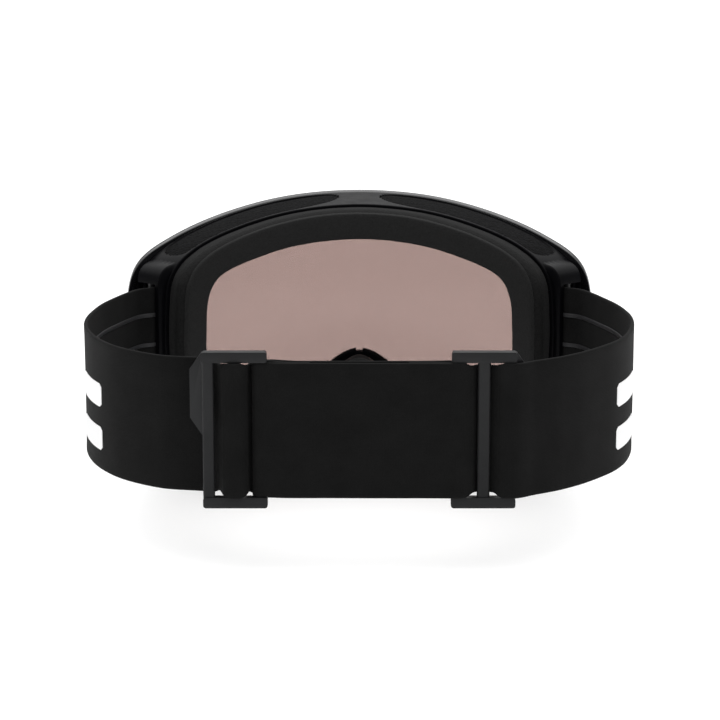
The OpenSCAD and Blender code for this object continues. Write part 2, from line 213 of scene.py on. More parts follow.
def grid_faces(n, m, wrap_u, wrap_v):
    i = np.arange(n if wrap_u else n - 1)[:, None]
    j = np.arange(m if wrap_v else m - 1)[None, :]
    a, b = i * m + j, ((i + 1) % n) * m + j
    c, d = ((i + 1) % n) * m + (j + 1) % m, i * m + (j + 1) % m
    return np.stack([a, b, c, d], -1).reshape(-1, 4).tolist()


def closed_tube(grid):
    """Vertices and faces of a tube: rows of rings, with a fan over each end."""
    n, m = grid.shape[:2]
    verts = np.concatenate([grid.reshape(-1, 3), [grid[0].mean(0)], [grid[-1].mean(0)]])
    faces = grid_faces(n, m, False, True)
    for j in range(m):
        k = (j + 1) % m
        faces.append([j, k, n * m])
        faces.append([(n - 1) * m + k, (n - 1) * m + j, n * m + 1])
    return verts, faces


def joined(parts):
    verts, faces, count = [], [], 0
    for v, f in parts:
        verts.append(v)
        faces += [[i + count for i in face] for face in f]
        count += len(v)
    return np.concatenate(verts), faces


def rounded(corners, radii, steps, mids=None):
    """Closed sections through corner loops, each (stations, 3), with their corners rounded.

    Each corner gets steps rows, and mids gives the extra rows on the side after a corner."""
    m = len(corners)
    mids = mids or {}
    rows = []
    for j in range(m):
        c, p, q = corners[j], corners[j - 1], corners[(j + 1) % m]
        lp = np.linalg.norm(p - c, axis=1, keepdims=True)
        lq = np.linalg.norm(q - c, axis=1, keepdims=True)
        a = c + unit(p - c) * np.minimum(radii[j], 0.42 * lp)
        b = c + unit(q - c) * np.minimum(radii[j], 0.42 * lq)
        for t in np.linspace(0, 1, steps):
            rows.append((1 - t) ** 2 * a + 2 * t * (1 - t) * c + t * t * b)
        nxt = corners[(j + 1) % m]
        r_next = corners[j]
        a_next = nxt + unit(r_next - nxt) * np.minimum(radii[(j + 1) % m], 0.42 * lq)
        for k in range(1, mids.get(j, 0) + 1):
            t = k / (mids[j] + 1)
            rows.append(b * (1 - t) + a_next * t)
    return np.stack(rows, 1)


def ring_object(name, grid, body, slot, material):
    n, m = grid.shape[:2]
    return new_object(name, grid.reshape(-1, 3), grid_faces(n, m, True, True), body, slot, material)


# ---------------------------------------------------------------- materials
def nodes_of(name):
    mat = bpy.data.materials.new(name)
    mat.use_nodes = True
    tree = mat.node_tree
    bsdf = tree.nodes["Principled BSDF"]
    return mat, tree, bsdf


def add(tree, kind, **values):
    node = tree.nodes.new(kind)
    for key, value in values.items():
        if key in node.inputs:
            node.inputs[key].default_value = value
        else:
            setattr(node, key, value)
    return node


def coords(tree, use_uv=False):
    tc = add(tree, "ShaderNodeTexCoord")
    return tc.outputs["UV" if use_uv else "Object"]


def ramp(tree, fac, stops):
    node = add(tree, "ShaderNodeValToRGB")
    el = node.color_ramp.elements
    while len(el) < len(stops):
        el.new(0.5)
    for e, (pos, col) in zip(el, stops):
        e.position = pos
        e.color = (*col, 1) if len(col) == 3 else col
    tree.links.new(fac, node.inputs["Fac"])
    return node.outputs["Color"]


def grey(v):
    return (v, v, v)


def bump(tree, height, strength, distance, before=None):
    node = add(tree, "ShaderNodeBump", Strength=strength, Distance=distance)
    tree.links.new(height, node.inputs["Height"])
    if before is not None:
        tree.links.new(before, node.inputs["Normal"])
    return node.outputs["Normal"]


def noise(tree, vector, scale, detail=4, rough=0.55):
    node = add(tree, "ShaderNodeTexNoise", Scale=scale, Detail=detail, Roughness=rough)
    tree.links.new(vector, node.inputs["Vector"])
    return node.outputs["Fac"]


def mapped(tree, vector, scale):
    node = add(tree, "ShaderNodeMapping", Scale=scale)
    tree.links.new(vector, node.inputs["Vector"])
    return node.outputs["Vector"]


GRAIN_DEPTH = 0.00003


def moulded(name, dark, light, rough, specular, grain=2600, coat=0.0):
    """Moulded plastic or rubber: a fine spark-eroded grain, soft tone changes and uneven gloss."""
    mat, tree, bsdf = nodes_of(name)
    where = coords(tree)
    tone = noise(tree, where, 38, 5, 0.6)
    tree.links.new(ramp(tree, tone, [(0.3, dark), (0.72, light)]), bsdf.inputs["Base Color"])
    gloss = noise(tree, where, 140, 4, 0.6)
    tree.links.new(ramp(tree, gloss, [(0.3, grey(rough - 0.06)), (0.7, grey(rough + 0.06))]),
                   bsdf.inputs["Roughness"])
    fine = bump(tree, noise(tree, where, grain, 2), 0.35, GRAIN_DEPTH)
    tree.links.new(bump(tree, noise(tree, where, 90, 3), 0.12, 0.0002, fine), bsdf.inputs["Normal"])
    bsdf.inputs["Specular IOR Level"].default_value = specular
    bsdf.inputs["Coat Weight"].default_value = coat
    bsdf.inputs["Coat Roughness"].default_value = 0.08
    return mat


def foam(name, dark, light, cell, depth, specular, sheen=0.0):
    """Foam or fleece: open cells or fibres as bump, mottled tone with painted shade in the fuzz dips and
    cell pits, no gloss.
    """
    mat, tree, bsdf = nodes_of(name)
    where = coords(tree)
    cells = add(tree, "ShaderNodeTexVoronoi", Scale=1 / cell, feature="F1")
    tree.links.new(where, cells.inputs["Vector"])
    pores = ramp(tree, cells.outputs["Distance"], [(0.05, grey(0.0)), (0.55, grey(1.0))])
    fuzz = noise(tree, where, 0.9 / cell, 6, 0.7)
    # The base colour is the fuzz tone, which is random mottling and also painted shade, being darker in the
    # dips of the same fuzz bump. It is multiplied by painted shade at the cell pits, where the pore bump is
    # lowest.
    mix = add(tree, "ShaderNodeMix", data_type="RGBA", blend_type="MULTIPLY")
    mix.inputs["Factor"].default_value = 0.6
    tree.links.new(ramp(tree, fuzz, [(0.3, dark), (0.7, light)]), mix.inputs[6])
    tree.links.new(ramp(tree, cells.outputs["Distance"], [(0.0, grey(0.35)), (0.4, grey(1.0))]),
                   mix.inputs[7])
    tree.links.new(mix.outputs[2], bsdf.inputs["Base Color"])
    first = bump(tree, pores, 0.5, depth)
    tree.links.new(bump(tree, fuzz, 0.5, depth, first), bsdf.inputs["Normal"])
    bsdf.inputs["Roughness"].default_value = 0.93
    bsdf.inputs["Specular IOR Level"].default_value = specular
    bsdf.inputs["Sheen Weight"].default_value = sheen
    bsdf.inputs["Sheen Roughness"].default_value = 0.5
    return mat


def woven(name, dark, light):
    """Ribbed elastic webbing: rows of flat loops over a fine rib, from the flat length in mm, with painted
    shade in the grooves between the loops.
    """
    mat, tree, bsdf = nodes_of(name)
    where = coords(tree, use_uv=True)
    rib = add(tree, "ShaderNodeTexWave", bands_direction="Y", Scale=0.62, Distortion=0.25)
    rib.inputs["Detail Scale"].default_value = 3.0
    tree.links.new(where, rib.inputs["Vector"])
    weft = add(tree, "ShaderNodeTexWave", bands_direction="X", Scale=0.62, Distortion=0.4)
    tree.links.new(where, weft.inputs["Vector"])
    both = add(tree, "ShaderNodeMath", operation="MULTIPLY")
    tree.links.new(rib.outputs["Fac"], both.inputs[0])
    tree.links.new(weft.outputs["Fac"], both.inputs[1])
    fibre = noise(tree, mapped(tree, where, (5, 9, 5)), 1.0, 5, 0.7)
    tone = noise(tree, where, 0.09, 3)
    base = ramp(tree, tone, [(0.3, dark), (0.75, light)])
    # The base colour is multiplied by the weave height, so it is darker where the weave bump is low: painted
    # shade in the grooves between the loops.
    mix = add(tree, "ShaderNodeMix", data_type="RGBA", blend_type="MULTIPLY")
    mix.inputs["Factor"].default_value = 0.3
    tree.links.new(base, mix.inputs[6])
    tree.links.new(ramp(tree, both.outputs[0], [(0.0, grey(0.45)), (0.6, grey(1.0))]), mix.inputs[7])
    tree.links.new(mix.outputs[2], bsdf.inputs["Base Color"])
    first = bump(tree, both.outputs[0], 0.4, 0.00012)
    tree.links.new(bump(tree, fibre, 0.3, 0.00008, first), bsdf.inputs["Normal"])
    bsdf.inputs["Roughness"].default_value = 0.82
    bsdf.inputs["Specular IOR Level"].default_value = 0.1
    bsdf.inputs["Sheen Weight"].default_value = 0.02
    bsdf.inputs["Sheen Roughness"].default_value = 0.45
    return mat


def tinted(name, tint, gloss, body, colour):
    """A tinted sheet: light passes straight through it, and its surface mirrors the room."""
    mat, tree, bsdf = nodes_of(name)
    out = tree.nodes["Material Output"]
    through = add(tree, "ShaderNodeBsdfTransparent", Color=(*tint, 1))
    bsdf.inputs["Base Color"].default_value = (*colour, 1)
    bsdf.inputs["Roughness"].default_value = 0.1
    bsdf.inputs["Specular IOR Level"].default_value = gloss
    streak = noise(tree, coords(tree), 60, 3)
    tree.links.new(bump(tree, streak, 0.012, 0.0002), bsdf.inputs["Normal"])
    mix = add(tree, "ShaderNodeMixShader")
    mix.inputs["Fac"].default_value = body
    tree.links.new(through.outputs[0], mix.inputs[1])
    tree.links.new(bsdf.outputs[0], mix.inputs[2])
    tree.links.new(mix.outputs[0], out.inputs["Surface"])
    return mat


def metal(name, colour, rough):
    """Plated metal with a faint grain."""
    mat, tree, bsdf = nodes_of(name)
    where = coords(tree)
    gloss = noise(tree, where, 400, 3)
    tree.links.new(ramp(tree, gloss, [(0.3, grey(rough - 0.05)), (0.7, grey(rough + 0.08))]),
                   bsdf.inputs["Roughness"])
    bsdf.inputs["Base Color"].default_value = (*colour, 1)
    bsdf.inputs["Metallic"].default_value = 1.0
    tree.links.new(bump(tree, noise(tree, where, 1500, 2), 0.1, 0.00003), bsdf.inputs["Normal"])
    return mat


SHELL = moulded("frame_rubber", (0.0018, 0.0018, 0.0024), (0.0030, 0.0030, 0.0039), 0.38, 0.06)
RIM = moulded("rim_plastic", (0.004, 0.004, 0.005), (0.007, 0.007, 0.008), 0.26, 0.35, coat=0.1)
CLIP = moulded("clip_plastic", (0.0095, 0.0098, 0.0104), (0.0140, 0.0143, 0.0152), 0.44, 0.2, 1900)
NYLON = moulded("post_plastic", (0.010, 0.010, 0.011), (0.015, 0.015, 0.016), 0.36, 0.4)
SILICONE = moulded("silicone", (0.019, 0.019, 0.020), (0.027, 0.027, 0.029), 0.46, 0.3)
PRINT = moulded("print_white", (0.90, 0.90, 0.90), (0.97, 0.97, 0.97), 0.55, 0.3, 1200)
THREAD = foam("thread", (0.012, 0.012, 0.012), (0.030, 0.030, 0.030), 0.0003, 0.00006, 0.3)
VENT_FOAM = foam("vent_foam", (0.0022, 0.0022, 0.0022), (0.0085, 0.0085, 0.0092), 0.0011, 0.0006, 0.08)
FIRM_FOAM = foam("firm_foam", (0.012, 0.012, 0.012), (0.020, 0.020, 0.020), 0.0006, 0.00012, 0.2)
SOFT_FOAM = foam("soft_foam", (0.010, 0.010, 0.010), (0.0155, 0.0155, 0.0155), 0.0009, 0.0002, 0.12)
FLEECE = foam("fleece", (0.0145, 0.0145, 0.0145), (0.0215, 0.0215, 0.0215), 0.0005, 0.00016, 0.1, 0.06)
GASKET = foam("gasket_foam", (0.010, 0.010, 0.010), (0.016, 0.016, 0.016), 0.0006, 0.0001, 0.2)
WEBBING = woven("webbing", (0.0048, 0.0048, 0.0048), (0.0072, 0.0072, 0.0072))
TINT = tinted("lens_tint", (0.655, 0.573, 0.553), 0.5, 0.18, (0.42, 0.28, 0.25))
CLEAR = tinted("inner_lens_clear", (0.96, 0.93, 0.92), 0.5, 0.04, (0.5, 0.45, 0.44))
NICKEL = metal("magnet", (0.62, 0.61, 0.58), 0.25)


# ---------------------------------------------------------------- frame shell
WALL_BULGE = 0.25


def wall_point(u, v, into):
    """Points on the outer wall, u round the outline and v from its rear edge to its front edge."""
    rear, front = whole(REAR), whole(FRONT)
    a, b = at(rear, u), at(front, u)
    c, d = at(rear, u + 0.02), at(front, u + 0.02)
    v = v[:, None]
    p, q = a * (1 - v) + b * v, c * (1 - v) + d * v
    t = unit(q - p)
    into = np.broadcast_to(into, u.shape)[:, None] - WALL_BULGE * 4 * v * (1 - v)
    flat = p + into * np.stack([t[:, 1], -t[:, 0]], 1)
    v = v[:, 0]
    y = face_depth(a[:, 0], 0) * (1 - v) + lens_depth(b[:, 0], FLANGE_R) * v
    return np.stack([flat[:, 0], y, flat[:, 1]], 1)


VENT_SKEW = 0.22
WALL_DEPTH = 18.0


def vent_band(vent, share):
    """Middle and half width of a vent, as shares of the wall, at a share of its length."""
    lean = vent[3] * np.maximum(1 - 4 * share, 0) ** 2
    half = (vent[2] - lean) * np.sqrt(np.maximum(1 - np.abs(2 * share - 1) ** 14, 0))
    return VENT_MID + lean, half


def vent_end(vent, v):
    return vent[1] + VENT_SKEW * (v - VENT_MID)


def vent_edge(vent, u, v):
    """How far a wall point is inside a vent, in mm across the wall."""
    u = np.where(u > 12, 24 - u, u)
    share = (u - vent[0]) / (vent_end(vent, v) - vent[0])
    mid, half = vent_band(vent, np.clip(share, 0, 1))
    return np.where((share > 0) & (share < 1), (half - np.abs(v - mid)) * WALL_DEPTH, -1)


def step(x, lo, hi):
    t = np.clip((x - lo) / (hi - lo), 0, 1)
    return t * t * (3 - 2 * t)


TURN = math.radians(POST_TURN)
ALONG, OUT = np.array([math.cos(TURN), math.sin(TURN)]), np.array([math.sin(TURN), -math.cos(TURN)])
BLOCK_LOW, BLOCK_TOP, BLOCK_OUT, SHOULDER = 23.5, 81.0, 2.6, 8.5
SLOT_IN, SLOT_OUT, SLOT_LOW, SLOT_TOP = -3.7, 4.8, STRAP_Z - 0.8, STRAP_Z + STRAP_W + 0.8
SLOT_EDGE = 0.3
POCKET_R = LOOP_R + STRAP_T / 2 + 0.25


def in_post_frame(points):
    """Distances along and out of a strap post's slot, for points of either side."""
    flat = np.stack([np.abs(points[:, 0]), points[:, 1]], 1) - POST
    return flat @ ALONG, flat @ OUT


def push_out(points, d):
    """Moves points out of the side wall by d."""
    side = np.sign(points[:, 0])
    return points + np.stack([d * OUT[0] * side, d * OUT[1], np.zeros(len(d))], 1)


def side_block(points):
    """Swells the side wall into a block with a slot for the webbing, over a rounded pocket."""
    along, out = in_post_frame(points)
    z = points[:, 2]
    near = (np.abs(points[:, 0]) > 55) & (points[:, 1] < 60)
    shoulder = np.sqrt(np.clip(1 - np.maximum((z - BLOCK_TOP) / SHOULDER + 1, 0) ** 2, 0, 1))
    block = step(z, BLOCK_LOW - 1, BLOCK_LOW + 1.6) * shoulder
    block = block * step(along, -7.0, -5.4) * (1 - step(along, 4.9, 6.5)) * near
    face = out + block * (np.maximum(BLOCK_OUT, out) - out)
    slot = step(z, SLOT_LOW - SLOT_EDGE, SLOT_LOW + SLOT_EDGE)
    slot = slot * (1 - step(z, SLOT_TOP - SLOT_EDGE, SLOT_TOP + SLOT_EDGE))
    slot = slot * step(along, SLOT_IN - SLOT_EDGE, SLOT_IN + SLOT_EDGE)
    slot = slot * (1 - step(along, SLOT_OUT - SLOT_EDGE, SLOT_OUT + SLOT_EDGE))
    floor = -np.sqrt(np.maximum(POCKET_R ** 2 - along ** 2, 0))
    face = face + slot * near * (np.minimum(floor, face) - face)
    return push_out(points, face - out)


def behind_pocket(points):
    """Moves the inner side of the wall clear of the pocket."""
    along, out = in_post_frame(points)
    z = points[:, 2]
    near = (np.abs(points[:, 0]) > 55) & (points[:, 1] < 60)
    slot = step(z, SLOT_LOW - 2.5, SLOT_LOW - 0.8) * (1 - step(z, SLOT_TOP + 0.8, SLOT_TOP + 2.5)) * near
    clear = -np.sqrt(np.maximum((POCKET_R + 0.9) ** 2 - along ** 2, 0))
    return push_out(points, slot * (np.minimum(clear, out) - out))


def shell_places():
    """Places round the outline, closer together where the slots and the blocks end."""
    even = np.arange(STATIONS) * 24 / STATIONS
    height = outline(REAR, np.linspace(4, 8, 400))[:, 1]
    at_height = lambda z: 4 + 4 * float(np.argmin(np.abs(height - z))) / 399
    extra = []
    for z in (SLOT_LOW - 1, SLOT_TOP - 1.5, BLOCK_TOP - 3):
        near = at_height(z) + np.linspace(-0.17, 0.17, 46)
        extra += [near, 24 - near]
    return np.unique(np.concatenate([even, *extra]).round(5))


def shell():
    """The frame: its wall with blocks, slots and vent hollows, its flange and its foam seat."""
    u = shell_places()
    rear, front, aperture = outline(REAR, u), outline(FRONT, u), outline(APERTURE, u)
    seat = inset(rear, 6.4)
    corners = [
        on_face(rear, 0), on_lens(front, FLANGE_R), on_lens(aperture, FLANGE_R),
        on_lens(aperture, FLANGE_BACK_R), on_lens(inset(front, 2.5), FLANGE_BACK_R),
        on_face(inset(rear, 2.2), -2), on_face(seat, -2), on_face(seat, 0)]
    steps, inner = 5, 14
    section = rounded(corners, [0.5, 0.6, 0.5, 0.5, 1, 1, 0.6, 0.5], steps, {4: inner})
    rows = []
    for v in np.linspace(0.03, 0.97, 110):
        vv = np.full(len(u), v)
        inside = np.maximum(vent_edge(TOP_VENT, u, vv), vent_edge(BOTTOM_VENT, u, vv))
        sunk = 1.5 * step(inside, -0.05, 0.4)
        rows.append(side_block(wall_point(u, vv, sunk)))
    wall = np.stack(rows, 1)
    first = steps * 5
    for k in range(first, first + inner):
        section[:, k] = behind_pocket(section[:, k])
    grid = np.concatenate([section[:, :steps], wall, section[:, steps:]], 1)
    obj = ring_object("frame_shell_moulding", grid, "frame", "frame_rubber", SHELL)
    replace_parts(obj, "frame_shell")
    return obj


def vent_pad(name, node, vent, side):
    """A foam pad that fills a vent, a little below the wall."""
    across = np.linspace(-1, 1, 30)
    top, low = [], []
    for k in (1 - np.cos(np.linspace(0.02, 0.98, 170) * math.pi)) / 2:
        mid, half = vent_band(vent, k)
        v = mid + across * (half + 0.006)
        u = vent[0] + (vent_end(vent, v) - vent[0]) * k
        crown = 0.35 * (1 - across ** 6)
        top.append(wall_point(u, v, 0.7 - crown))
        low.append(wall_point(u, v, np.full(len(v), 1.45)))
    grid = np.concatenate([np.array(top), np.array(low)[:, ::-1]], 1)
    flat = grid.reshape(-1, 3)
    grid = (flat + 0.07 * wobble(flat, 1.3, 3)[:, None] * [0.2, 0.3, 1]).reshape(grid.shape)
    grid = grid * [side, 1, 1]
    verts, faces = closed_tube(grid)
    obj = new_object(name, verts, faces, "frame", "vent_foam", VENT_FOAM)
    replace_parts(obj, node)


def nose_lip(name, side):
    """A thin raised lip on one side of the nose arch, with a gap left at the middle."""
    u = np.linspace(10.95, 11.9, 26)
    path = at(whole(APERTURE), u)
    t = unit(np.gradient(path, axis=0))
    into = np.stack([t[:, 1], -t[:, 0]], 1)
    size = np.array([[-0.3, 0.3], [0.8, 0.3], [1.0, 0.1], [1.0, -2.3], [0.8, -2.5], [-0.3, -2.5]])
    rows = []
    for d, r in size:
        p = path + d * into
        rows.append(on_lens(p, FLANGE_R + r - 0.2))
    grid = np.stack(rows, 1) * [side, 1, 1]
    verts, faces = closed_tube(grid)
    new_object(name, verts, faces, "frame", "frame_rubber", SHELL)


# ---------------------------------------------------------------- foam
def foam_layer(name, node, back0, back1, edge0, edge1, radii, puff, slot, material):
    """One foam ring between two depths; puff rounds its sides, and a soft wobble makes it uneven."""
    t0, t1 = back0 / FOAM_DEPTH, back1 / FOAM_DEPTH
    rear, face, eye = outline(REAR), outline(FACE), outline(EYE)
    mix = lambda t: rear * (1 - t) + face * t
    mid = (t0 + t1) / 2
    corners = [
        on_face(inset(mix(t1), edge1), back1), on_face(inset(eye, -1.4 * (1 - t1)), back1),
        on_face(inset(eye, -1.4 * (1 - mid) + puff * 0.4), (back0 + back1) / 2),
        on_face(inset(eye, -1.4 * (1 - t0)), back0), on_face(inset(mix(t0), edge0), back0),
        on_face(inset(mix(mid), (edge0 + edge1) / 2 - puff), (back0 + back1) / 2)]
    grid = rounded(corners, radii, 5, {0: 8, 3: 3})
    flat = grid.reshape(-1, 3)
    away = np.stack([flat[:, 0] / 64, -0.6 * np.ones(len(flat)), (flat[:, 2] - 55) / 45], 1)
    flat = flat + (0.10 * wobble(flat, 9, 5) + 0.04 * wobble(flat, 2.2, 6))[:, None] * unit(away)
    obj = ring_object(name, flat.reshape(grid.shape), "frame", slot, material)
    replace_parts(obj, node)


# ---------------------------------------------------------------- lens
SHEET_RINGS = 26


def sheet(name, node, loop, r_out, r_in, slot, material):
    """A curved sheet cut to an outline, with a polished edge."""
    centre = np.array([0.0, 58.0])
    t = r_out - r_in
    rows = []
    for s in np.linspace(0.04, 0.985, SHEET_RINGS):
        rows.append(on_lens(centre + (loop - centre) * s, r_out))
    for d, r in ((0.45, 0), (0.12, 0.12), (0, 0.4), (0, t - 0.4), (0.12, t - 0.12), (0.45, t)):
        rows.append(on_lens(inset(loop, d), r_out - r))
    for s in np.linspace(0.985, 0.04, SHEET_RINGS):
        rows.append(on_lens(centre + (loop - centre) * s, r_in))
    verts, faces = closed_tube(np.stack(rows, 0))
    obj = new_object(name, verts, faces, "lens", slot, material)
    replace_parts(obj, node)


RIM_LIP = 0.6


def lens_parts():
    """The outer and inner lenses, the dark rim that wraps the outer one, and the spacer between them."""
    lens, aperture = outline(LENS), outline(APERTURE)
    sheet("outer_lens_sheet", "outer_lens", inset(lens, RIM_LIP), LENS_R, CARRIER_R, "lens_tint", TINT)
    sheet("inner_lens_sheet", "inner_lens", inset(aperture, -INNER_LAP), INNER_LENS_R,
          INNER_LENS_R - INNER_T, "inner_lens_clear", CLEAR)
    outer, inner = inset(lens, 0.5), inset(aperture, -INNER_LAP - INNER_GAP)
    back, lip = CARRIER_R - CARRIER_T, LENS_R - 0.3
    inside = inset(lens, RIM_LIP + 0.05)
    grid = rounded([
        on_lens(lens, lip), on_lens(inside, lip), on_lens(inside, CARRIER_R), on_lens(inner, CARRIER_R),
        on_lens(inner, back), on_lens(outer, back), on_lens(lens, CARRIER_R)],
        [0.35, 0.25, 0.1, 0.3, 0.5, 0.6, 0.8], 5)
    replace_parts(ring_object("lens_rim", grid, "lens", "rim_plastic", RIM), "lens_carrier")
    a, b = inset(aperture, -INNER_LAP), inset(aperture, GASKET_W - INNER_LAP)
    grid = rounded([on_lens(a, CARRIER_R), on_lens(b, CARRIER_R), on_lens(b, INNER_LENS_R),
                    on_lens(a, INNER_LENS_R)], [0.3, 0.3, 0.3, 0.3], 4)
    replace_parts(ring_object("lens_spacer", grid, "lens", "gasket_foam", GASKET), "lens_gasket")


# ---------------------------------------------------------------- webbing
TURN_R = INNER_BAR_T / 2 + 0.2 + STRAP_T / 2
TURN_X, TURN_Y = INNER_BAR_X + 1.4, INNER_BAR_Y + INNER_BAR_T / 2
# The webbing's middle line seen from above, for the right side: its sewn tail, its way to the
# back, and then its way through the slider, over the outer bars or over the centre bar
BAND_Y = -82.4
TAIL = [(88.3, 22), (85.7, 28.3), (83.2, 33.4), (80.6, 38.4)]
SIDE_RUN = [
    (74.8, 38.4), (76.7, 36.8), (79.4, 35.3), (81.8, 32.6), (84.4, 27.2), (86.7, 21.4),
    (91.3, 8), (93.7, -6), (94.3, -18), (93.2, -30), (90.2, -42), (85.8, -52), (80, -60.8)]
OVER_RUN = [
    (73, -69.4), (66.2, -75.6), (61.4, -78.9), (56.6, -81.9), (53.6, -84.2), (51, -85.7),
    (48.6, -86), (46.2, -85.7), (44.9, -84.2), (43.1, -82.7), (40.3, -82.2), (38, -82.3),
    (36.6, -83.8), (35.3, -85.2), (33.4, -86), (31, -86.1), (27, -85.9), (20, -85.7), (10, -85.6),
    (0, -85.6), (-10, -85.6), (-20, -85.6), (-26, -85.2), (2 - TURN_X, TURN_Y - TURN_R)]
UNDER_RUN = [
    (73, -67.8), (65.6, -73.2), (60.5, -75.2), (55.5, -76.2), (51.5, -77), (48.4, -78),
    (45.6, -80.1), (44.3, -82.6), (43.4, -84.8), (42.1, -86.1), (40.3, -86.5), (38.5, -86.1),
    (37.2, -84.8), (36.4, -82.6), (34.8, -80.9), (32.8, -80.1), (31, -80.1), (27, -80.6),
    (23.5, -81.6), (20, -82.3), (10, BAND_Y), (0, BAND_Y), (-10, BAND_Y), (-20, BAND_Y),
    (-26, -82.1), (2 - TURN_X, TURN_Y + TURN_R)]
OVER_TAIL = [(2 - TURN_X, TURN_Y + TURN_R), (-28, -82.2), (-25.5, -83.4), (-22, -84), (-16, -84)]
UNDER_TAIL = [(2 - TURN_X, TURN_Y - TURN_R), (-28, -84.4), (-25, -84.1), (-22, -84), (-16, -84)]
STEPS = 7
TURN_POINTS = 9


def route(run, tail, up):
    """A strap's whole middle line, from its sewn tail to its other end's turn round the far inner bar."""
    turn = arc(POST, LOOP_R, 27, 205, TURN_POINTS - 1)
    first = smooth(np.concatenate([TAIL, turn, SIDE_RUN, run]), STEPS)
    bar = arc((-TURN_X, TURN_Y), TURN_R, 90, 270, 16)
    return np.concatenate([first, bar if not up else bar[::-1], smooth(tail, STEPS)])


def lengths(path):
    return np.concatenate([[0], np.cumsum(np.linalg.norm(np.diff(path, axis=0), axis=1))])


def side_normals(path):
    t = unit(np.gradient(path, axis=0))
    return np.stack([-t[:, 1], t[:, 0]], 1)


ACROSS = 30


def web_section():
    """Points round the webbing's section, as offset from the middle and height, with soft edges."""
    half, r = STRAP_T / 2, 0.55
    z = np.linspace(r, STRAP_W - r, ACROSS)
    edge = np.where(np.minimum(z, STRAP_W - z) < 2.6, 0.0, -0.05)
    up = np.stack([half + edge, z], 1)
    top = np.array([[half - 0.12, STRAP_W - 0.18], [half - 0.4, STRAP_W], [-half + 0.4, STRAP_W],
                    [-half + 0.12, STRAP_W - 0.18]])
    down = np.stack([-half - edge, z], 1)[::-1]
    low = np.array([[-half + 0.12, 0.18], [-half + 0.4, 0], [half - 0.4, 0], [half - 0.12, 0.18]])
    return np.concatenate([up, top, down, low])


def necking(path, over):
    """Share of its width that the webbing loses where it squeezes through a slider."""
    x = path[:, 0]
    if over:
        return NECK * (1 - step(np.abs(x - CLIP_X), 3.4, 6.6))
    return NECK * (np.exp(-((x - CLIP_X - 4.9) / 1.5) ** 2) + np.exp(-((x - CLIP_X + 4.1) / 1.3) ** 2))


NECK, TAIL_NECK = 0.055, 0.07


def webbing(name, path, normals, s, side, seed, neck):
    """A stretch of webbing along a route; s is the flat length, and seed shifts its edges' ripple."""
    section = web_section()
    n, m = len(path), len(section)
    flat = path[:, None, :] + normals[:, None, :] * section[None, :, :1]
    z = np.broadcast_to(section[None, :, 1], (n, m)) - STRAP_W / 2
    z = z * (1 - neck[:, None]) + STRAP_MID
    grid = np.concatenate([flat, z[..., None]], 2)
    pts = grid.reshape(-1, 3)
    ripple = 0.10 * np.sin(np.repeat(s, m) / 7.3 + seed) * ((pts[:, 2] - STRAP_MID) / 22) ** 2
    pts = pts + np.concatenate([np.repeat(normals, m, 0), np.zeros((n * m, 1))], 1) * ripple[:, None]
    grid = pts.reshape(n, m, 3) * [side, 1, 1]
    verts, faces = closed_tube(grid)
    uv = np.stack([np.repeat(s, m), grid[..., 2].ravel()], 1)
    uv = np.concatenate([uv, uv[:1], uv[-1:]])
    return new_object(name, verts, faces, None, "webbing", WEBBING, uv)


CLIP_OUT, CLIP_IN, CLIP_HOLD = 66.0, 51.5, 29.0


def strap(label, path, side):
    """One strap, split into four pieces: side run, way into its slider, and the two band halves."""
    normals, s = side_normals(path), lengths(path)
    bends = (len(TAIL) + TURN_POINTS + len(SIDE_RUN)) * STEPS
    at_x = lambda x: bends + int(np.argmin(np.abs(path[bends:bends + 22 * STEPS, 0] - x)))
    cuts = [0, at_x(CLIP_OUT), at_x(CLIP_X), at_x(0), len(path) - 1]
    order = np.arange(len(path))
    tail_end, turn_end = len(TAIL) * STEPS, (len(TAIL) + TURN_POINTS) * STEPS
    neck = necking(path, side > 0) * (order > bends)
    neck = neck + TAIL_NECK * (1 - step(order, tail_end, turn_end))
    for k, word in enumerate(["side", "slider", "band_near", "band_far"]):
        part = slice(cuts[k], cuts[k + 1] + 1)
        obj = webbing(f"{label}_{word}", path[part], normals[part], s[part], side, side + 1.5, neck[part])
        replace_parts(obj, label)
        if k == 0:
            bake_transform(obj)
        elif k == 1:
            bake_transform(obj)
        elif k == 2:
            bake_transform(obj)
        else:
            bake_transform(obj)
    return path, normals, s


def bead(path, normals, d, z, half_w, high, side):
    """A half-round bead along a route, standing off the webbing by high."""
    a = np.radians(np.linspace(0, 180, 9))
    root = [[-0.05, -half_w * 0.6], [-0.05, half_w * 0.6]]
    sec = np.concatenate([np.stack([np.sin(a) * high, np.cos(a) * half_w], 1), root])
    k = np.minimum(np.arange(len(path)), np.arange(len(path))[::-1])
    taper = np.sqrt(np.clip((k + 0.6) / 3.5, 0, 1))
    sign = math.copysign(1, d)
    off = d + sign * sec[None, :, 0] * taper[:, None]
    flat = path[:, None, :] + normals[:, None, :] * off[..., None]
    zz = z + sec[None, :, 1] * taper[:, None]
    return closed_tube(np.concatenate([flat, zz[..., None]], 2) * [side, 1, 1])


GRIP_FRONT, GRIP_PITCH, GRIP_RISE = 39.0, 11.1, 1.2
GRIP_HALF_W, GRIP_HIGH = 0.75, 0.38


